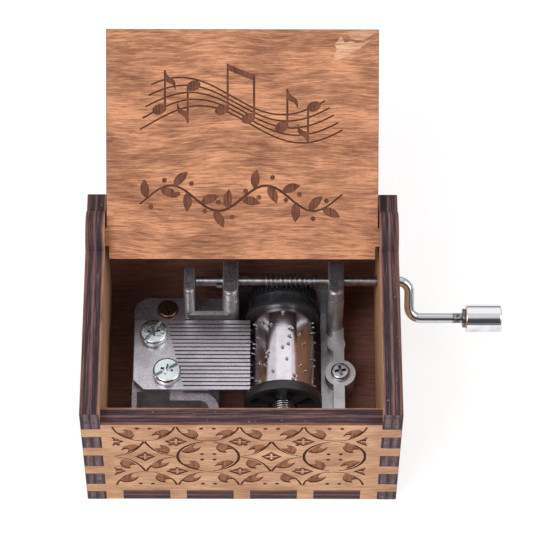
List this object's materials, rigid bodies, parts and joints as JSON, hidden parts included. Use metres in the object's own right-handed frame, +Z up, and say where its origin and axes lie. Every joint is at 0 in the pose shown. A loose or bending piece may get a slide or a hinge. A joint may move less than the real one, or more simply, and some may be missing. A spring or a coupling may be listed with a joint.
{
  "type": "hand-cranked music box",
  "caption": "Hand-cranked music box: a worm-driven pinned drum plucks a steel comb inside a small finger-jointed plywood box with a pivoting lid.",
  "frame": {"origin": "centre of the box's underside, on the surface that it stands on", "axes": "+X to the right, along the crankshaft and out towards the knob; +Y to the back, where the open lid leans; +Z up"},
  "size_m": [0.0862, 0.0785, 0.0606],
  "materials": {
    "plywood": "stained three-layer plywood, satin, laser-charred cut edges",
    "cast_zinc": "as-cast zinc alloy, matte light grey",
    "comb_steel": "ground steel",
    "zinc_plate": "bright zinc-plated steel",
    "bronze_plate": "dark bronze-plated steel",
    "lead": "dull soft metal",
    "spring_steel": "bright drawn wire",
    "nickel": "polished nickel",
    "black_plastic": "black moulded plastic, satin",
    "chrome_steel": "polished plating"
  },
  "bodies": {
    "case": {"box_bottom": "plywood", "box_front": "plywood", "box_back": "plywood", "box_side_left": "plywood", "box_side_right": "plywood", "bedplate": "cast_zinc", "comb": "comb_steel", "comb_screws": "zinc_plate", "comb_weights": "lead", "comb_dampers": "spring_steel", "bronze_wood_screw": "bronze_plate", "zinc_wood_screw": "zinc_plate"},
    "lid": {"lid_panel": "plywood"},
    "drum": {"drum_shell": "nickel", "drum_pins": "nickel", "drum_end_cap": "black_plastic", "drum_worm_gear": "black_plastic", "drum_arbor": "spring_steel", "arbor_clip": "spring_steel", "drum_spring": "spring_steel"},
    "crank": {"crank_rod": "chrome_steel"},
    "knob": {"knob": "chrome_steel", "knob_bush": "chrome_steel"}
  },
  "joints": [
    {"name": "lid_hinge", "type": "hinge", "parent": "case", "child": "lid", "pos_m": [0, 0.017, 0.034], "axis": [1, 0, 0], "range_deg": [0, 144]},
    {"name": "crank_spin", "type": "hinge", "parent": "case", "child": "crank", "pos_m": [0, 0.01386, 0.02175], "axis": [1, 0, 0], "continuous": true},
    {"name": "drum_spin", "type": "hinge", "parent": "case", "child": "drum", "pos_m": [0.00845, 0, 0.0135], "axis": [0, 1, 0], "continuous": true},
    {"name": "knob_spin", "type": "hinge", "parent": "crank", "child": "knob", "pos_m": [0.05, 0.0084, 0.0159], "axis": [1, 0, 0], "continuous": true}
  ],
  "couplings": [
    {"joint": "drum_spin", "follows": "crank_spin", "ratio": -0.022727}
  ]
}
